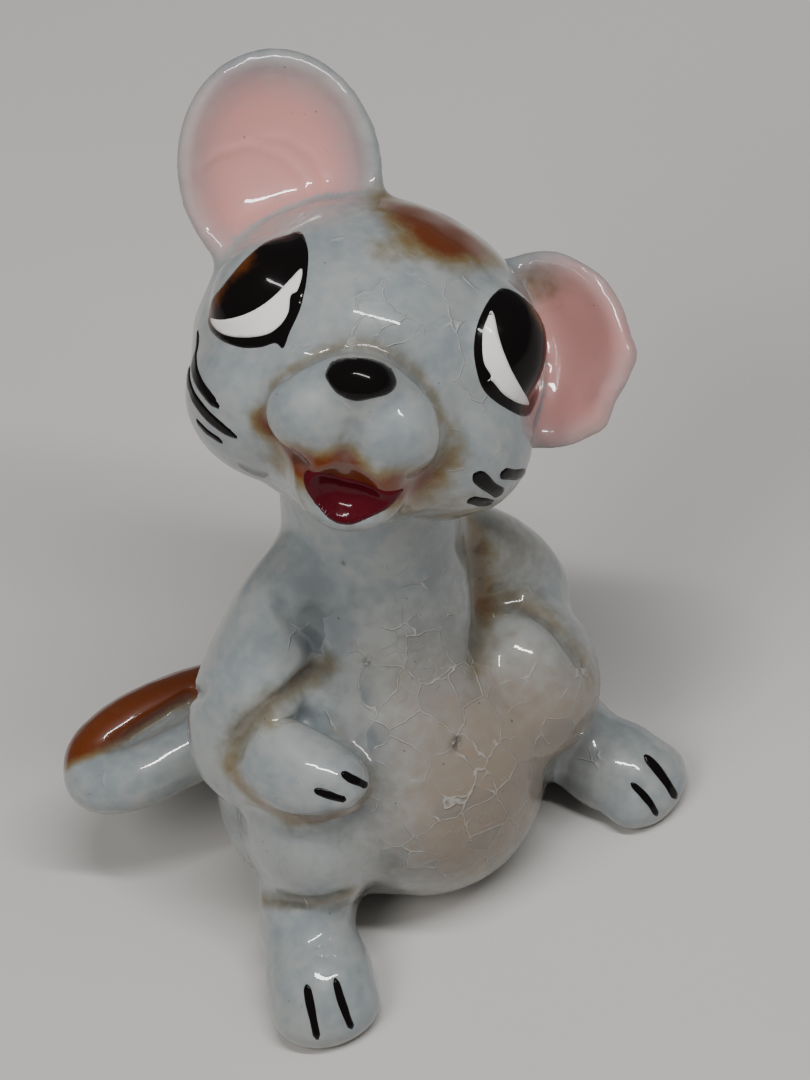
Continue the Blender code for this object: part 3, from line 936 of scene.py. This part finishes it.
# Strokes with their widths, in degrees on the head and in millimetres on the limbs.
WHISKERS = [
    ([(-50, -22), (-62, -15.5), (-74.5, -9), (-78, 0)], 4.0),
    ([(-44.5, -31.5), (-56, -25.5), (-67, -19), (-78, -12)], 4.2),
    ([(-53, -34), (-60, -31), (-66, -27.5)], 3.0),
    ([(47, -24), (56, -26.5), (66, -28)], 4.4),
    ([(57, -21.5), (66, -21), (76, -20)], 3.8),
    ([(53, -33), (60, -32.5), (67, -32)], 4.0),
]
CLAWS = {
    "foot_right": [([(-0.2, 0.5), (-0.3, -0.6), (-0.4, -2.1), (-0.5, -3.6)], 0.62),
                   ([(1.9, 0.4), (1.9, -1.1), (2.0, -2.6), (2.1, -3.5)], 0.58)],
    "foot_left": [([(0.3, 0.7), (0.9, -0.5), (1.4, -1.8), (1.75, -3.1)], 0.66),
                  ([(-1.2, -1.0), (-0.6, -2.0), (-0.2, -2.9), (0.05, -3.9)], 0.54)],
    "arm_right": [([(-1.6, 0.7), (-1.1, 0.1), (-0.5, -0.4), (-0.1, -0.8)], 0.60),
                  ([(-3.8, 0.0), (-3.2, -0.4), (-2.5, -0.9), (-1.8, -1.3)], 0.58)],
}


def add_enamel(skin, rays):
    black = enamel_material("black_enamel", (0.004, 0.003, 0.003), (0.075, 0.022, 0.005))
    white = enamel_material("white_enamel", (0.70, 0.69, 0.68), (0.40, 0.41, 0.41))
    maroon = enamel_material("maroon_enamel", (0.058, 0.004, 0.008), (0.14, 0.04, 0.035))

    def head_coat(name, points, material, height=ENAMEL_HEIGHT, base=0.0, thin=None, replaced=None):
        made_points, faces = coat(closed_curve(points), rays["head"], skin, 0.9, DEGREE, height, base)
        values = np.zeros(len(made_points))
        if thin:
            spots = skin.line(rays["head"], thin)
            values = sum(spray(np.array(made_points), spot, 1.3, 1.2) for spot in spots)
        piece = make_piece(name, made_points, faces, material, {"thin": values})
        if replaced:
            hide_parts(replaced)

    head_coat("eye_right_black", EYE_RIGHT, black, thin=[(-68, 7), (-61, 13.5), (-55, 23)])
    head_coat("eye_right_white", WHITE_RIGHT, white, WHITE_HEIGHT, base=ENAMEL_HEIGHT)
    head_coat("eye_left_black", EYE_LEFT, black,
              thin=[(79, 3), (75, 11), (70, 18), (63, 27)])
    head_coat("eye_left_white", WHITE_LEFT, white, WHITE_HEIGHT, base=ENAMEL_HEIGHT)
    head_coat("nose_enamel", NOSE, black, NOSE_HEIGHT, replaced="nose")
    head_coat("mouth_enamel", MOUTH, maroon, MOUTH_HEIGHT)

    def strokes(name, place, lines, spacing, scale, taper):
        points = []
        faces = []
        for line, width in lines:
            outline = stroke_outline(line, width, taper)
            stroke_points, stroke_faces = coat(outline, rays[place], skin, spacing, scale)
            faces += [tuple(i + len(points) for i in face) for face in stroke_faces]
            points += stroke_points
        make_piece(name, points, faces, black, {"thin": np.full(len(points), 0.1)})

    strokes("whiskers", "head", WHISKERS, 0.7, DEGREE, 0.2)
    for node, lines in CLAWS.items():
        strokes(f"claws_{node}", node, lines, 0.14, 1.0, 0.1)


# ------------------------------------ the mouse

PIECES = ("body", "head", "ear_right", "ear_left", "arm_right", "arm_left", "leg_right", "leg_left",
          "foot_right", "foot_left", "tail")


def build_mouse(frame):
    low, high = (np.array(corner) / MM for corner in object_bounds())
    grid = Grid(low - 2 * PITCH, high + 2 * PITCH, PITCH)
    clay = []
    for name in (*PIECES, "nose"):
        number = PIECES.index("head" if name == "nose" else name) + 1
        box = [np.array(corner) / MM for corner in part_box(name)]
        clay.append({"node": frame["nodes"][name], "box": box, "owner": number})
    field, sample_owner = melt_clay(grid, clay)
    points, table, is_outer = skin_points(grid, field, sample_owner)
    faces, behind, front = skin_faces(sample_owner, table)
    outer = (behind == 0) | (front == 0)
    outward = np.where((behind == 0)[:, None], faces[:, ::-1], faces)[outer]
    # A quad of a seam starts at an inner corner, where it is then split, so it can't bridge a crease.
    first = np.argmin(is_outer[faces], 1)
    faces = faces[np.arange(len(faces))[:, None], (first[:, None] + np.arange(4)) % 4]
    edges = face_edges(outward)
    points = smoothed(points, edges, SKIN_SMOOTH_STEPS, is_outer)

    head = HeadGlobe()
    windows = {node: Window(node, share) for node, share in WINDOWS.items()}
    rays = {"head": head.ray, **{node: window.ray for node, window in windows.items()}}
    owner = np.zeros(len(points), int)
    owner[outward] = np.maximum(behind, front)[outer][:, None]
    normals = point_normals(points, outward)
    for ear, outline in EAR_PINK.items():
        dish = masked(windows[ear], points, normals, outline, 1.0) * (owner == PIECES.index(ear) + 1)
        points = smoothed(points, edges, EAR_SMOOTH_STEPS, dish > 0.4, back=0.0)
    points = nudge_ear(points, windows)
    normals = point_normals(points, outward)
    skin = Skin(points, outward, normals)
    points, crease_shade = tool_marks(points, normals, skin, head, rays)
    mouth = line_spray(points, skin, rays["head"], [(5, -40)], 3.3)
    points = smoothed(points, edges, MOUTH_SMOOTH_STEPS, mouth > 0.37, back=0.0)
    points = smoothed(np.clip(points, low, high), edges, MARK_SMOOTH_STEPS, is_outer)
    points = np.clip(points, low, high)
    points = smoothed(points, face_edges(faces), SEAM_SMOOTH_STEPS, ~is_outer, back=0.0)
    normals = point_normals(points, outward)
    skin = Skin(points, outward, normals)
    points[~is_outer] = skin.push_in(points[~is_outer], SEAM_DEPTH)

    painted = paint(points, normals, owner, crease_shade, skin, rays, windows)
    glaze = glaze_material()
    for number, name in enumerate(PIECES, 1):
        own = np.concatenate([faces[behind == number], faces[front == number][:, [0, 3, 2, 1]]])
        used, local = np.unique(own, return_inverse=True)
        local = local.reshape(-1, 4)
        skin_normals = np.where(is_outer[used][:, None], normals[used], 0.0)
        piece = make_piece(f"{name}_skin", points[used], local, glaze,
                           {key: values[used] for key, values in painted.items()}, skin_normals)
        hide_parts(name)
    add_enamel(skin, rays)


# ------------------------------------ studio

def add_area_light(name, place, along, size, power, colour=(1.0, 1.0, 1.0)):
    """An area light that faces the mouse, with its long side along a direction."""
    light = bpy.data.lights.new(name, "AREA")
    light.shape = "RECTANGLE"
    light.size, light.size_y = size
    light.energy = power
    light.color = colour
    obj = bpy.data.objects.new(name, light)
    away = (Vector(place) - Vector(MOUSE_MIDDLE)).normalized()
    side = (Vector(along) - away * away.dot(Vector(along))).normalized()
    axes = Matrix((side, away.cross(side), away)).transposed()
    obj.matrix_world = Matrix.Translation(place) @ axes.to_4x4()
    bpy.context.scene.collection.objects.link(obj)
    return obj


FLOOR_EDGE = 3.0  # from the middle of the floor, in metres


def add_studio():
    s = Shader("pale_floor")
    colour = s.blend(s.noise(40.0, 3.0), (0.46, 0.45, 0.435), (0.50, 0.49, 0.475))
    s.feed(s.surface, {"Base Color": colour, "Roughness": 0.75})
    mesh = bpy.data.meshes.new("floor")
    corners = [(-FLOOR_EDGE, -FLOOR_EDGE, 0), (FLOOR_EDGE, -FLOOR_EDGE, 0),
               (FLOOR_EDGE, FLOOR_EDGE, 0), (-FLOOR_EDGE, FLOOR_EDGE, 0)]
    mesh.from_pydata(corners, [], [(0, 1, 2, 3)])
    mesh.materials.append(s.material)
    floor = bpy.data.objects.new("floor", mesh)
    bpy.context.scene.collection.objects.link(floor)
    floor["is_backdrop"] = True

    world = bpy.data.worlds.new("studio")
    world.use_nodes = True
    background = world.node_tree.nodes["Background"]
    background.inputs["Color"].default_value = (0.96, 0.97, 1.0, 1.0)
    background.inputs["Strength"].default_value = 0.12
    bpy.context.scene.world = world
    add_area_light("strip", (0.06, -0.13, 0.46), (0.70, -0.70, 0.0), (0.33, 0.026), 1.70)
    window = add_area_light("window", (-0.27, -0.10, 0.36), (0.0, 1.0, 0.0), (0.24, 0.24), 1.25,
                            (1.0, 0.98, 0.95))
    fill = add_area_light("fill", (0.6, -0.6, 0.6), (1.0, 0.0, 0.0), (0.7, 0.7), 1.85, (1.0, 0.97, 0.93))
    window.visible_glossy = False
    fill.visible_glossy = False


def add_camera():
    back = towards_camera()
    data = bpy.data.cameras.new("camera")
    data.sensor_width = SENSOR
    data.lens = FOCAL_LENGTH
    data.clip_start = 0.01
    camera = bpy.data.objects.new("camera", data)
    turn = (-back).to_track_quat("-Z", "Y") @ Euler((0, 0, math.radians(-VIEW_ROLL))).to_quaternion()
    place = (VIEW_TARGET + back * VIEW_DISTANCE) * MM
    camera.matrix_world = Matrix.Translation(place) @ turn.to_matrix().to_4x4()
    bpy.context.scene.collection.objects.link(camera)
    bpy.context.scene.camera = camera


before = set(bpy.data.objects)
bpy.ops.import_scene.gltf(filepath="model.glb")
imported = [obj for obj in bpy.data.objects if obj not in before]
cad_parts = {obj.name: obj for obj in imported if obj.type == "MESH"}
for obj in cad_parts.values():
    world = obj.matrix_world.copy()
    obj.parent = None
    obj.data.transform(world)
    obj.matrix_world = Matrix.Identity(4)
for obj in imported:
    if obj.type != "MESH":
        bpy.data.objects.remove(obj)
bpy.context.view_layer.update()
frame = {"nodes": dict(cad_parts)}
build_mouse(frame)
add_studio()
add_camera()
